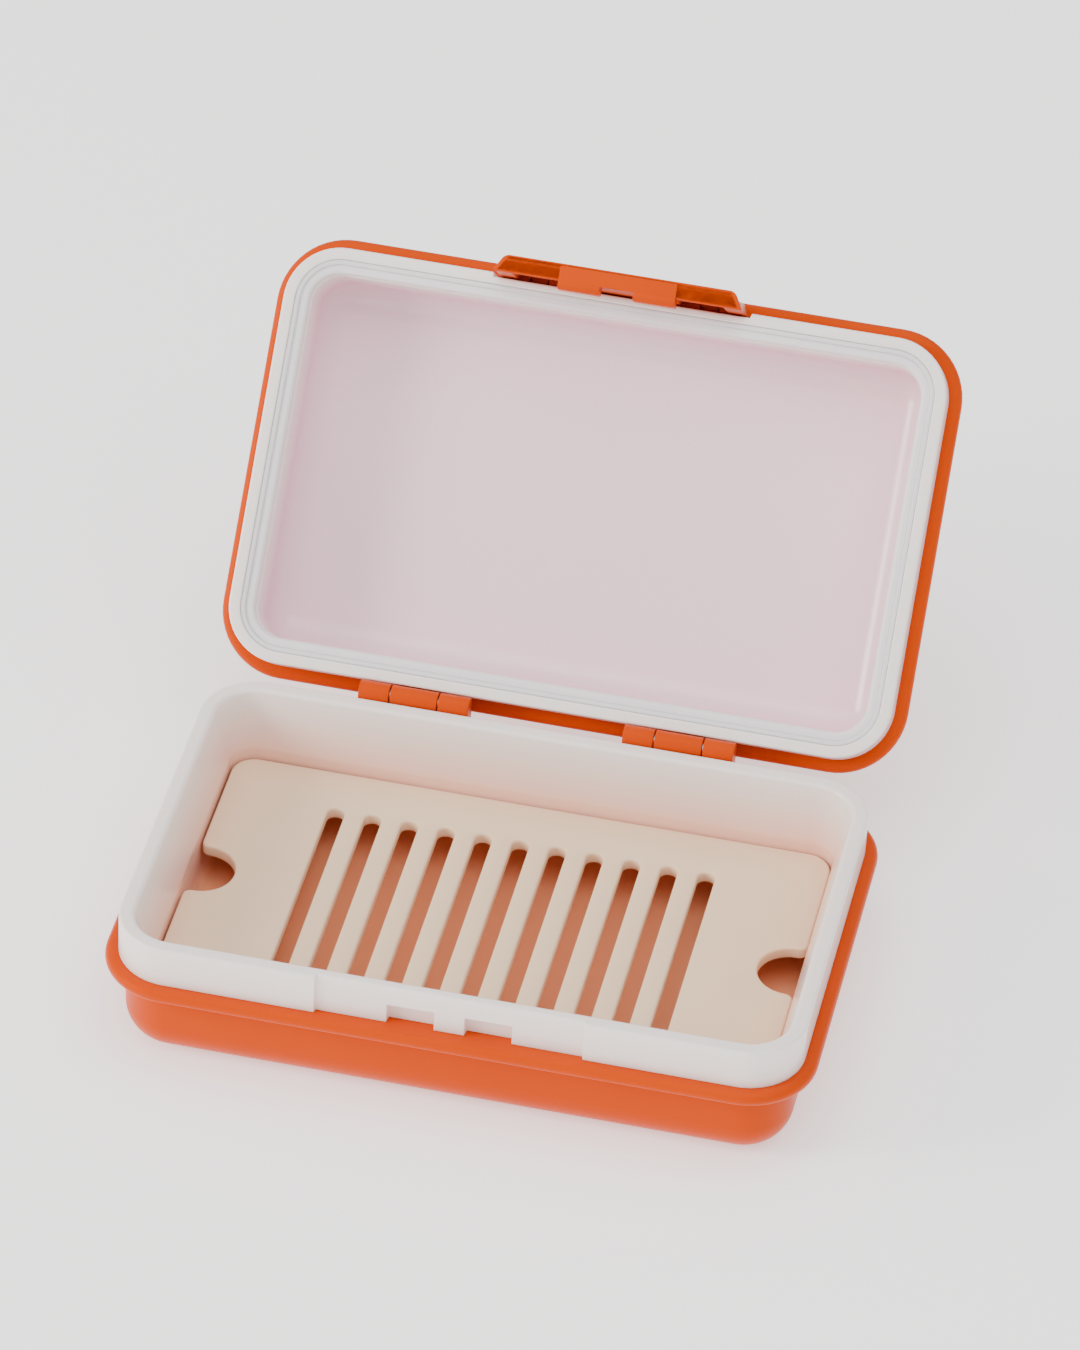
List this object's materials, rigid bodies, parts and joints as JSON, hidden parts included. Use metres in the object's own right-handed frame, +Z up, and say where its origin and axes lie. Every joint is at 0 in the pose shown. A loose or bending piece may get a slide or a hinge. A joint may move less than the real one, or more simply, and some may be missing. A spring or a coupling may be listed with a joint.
{
  "type": "travel soap box",
  "caption": "Hinged travel soap box: ribbed orange case, white liners, lift-out drain tray with finger notches, snap latch at the front.",
  "frame": {"origin": "centre of the flat face under the base that the box rests on", "axes": "+X along the length, +Y from the latch side to the hinge side, +Z up; the lid is drawn open at its stops"},
  "size_m": [0.125, 0.1427, 0.0907],
  "materials": {
    "case_plastic": "moulded satin orange polypropylene",
    "liner_plastic": "glossy milky white polypropylene",
    "tray_plastic": "satin cream polypropylene",
    "seal_silicone": "soft translucent silicone",
    "pin_steel": "drawn stainless wire"
  },
  "bodies": {
    "base": {"base_shell": "case_plastic", "base_liner": "liner_plastic", "hinge_pin_left": "pin_steel", "hinge_pin_right": "pin_steel"},
    "tray": {"drain_tray": "tray_plastic"},
    "lid": {"lid_shell": "case_plastic", "lid_liner": "liner_plastic", "lid_seal": "seal_silicone", "latch_pin": "pin_steel"},
    "latch": {"latch": "case_plastic"}
  },
  "joints": [
    {"name": "lid_hinge", "type": "hinge", "parent": "base", "child": "lid", "pos_m": [0, 0.0398, 0.026], "axis": [1, 0, 0], "range_deg": [0, 132]},
    {"name": "latch_hinge", "type": "hinge", "parent": "lid", "child": "latch", "pos_m": [0, 0.09561, 0.08111], "axis": [-1, 0, 0], "range_deg": [0, 95]},
    {"name": "tray_lift", "type": "slide", "parent": "base", "child": "tray", "axis": [0, 0, 1], "range_m": [0, 0.024]}
  ]
}
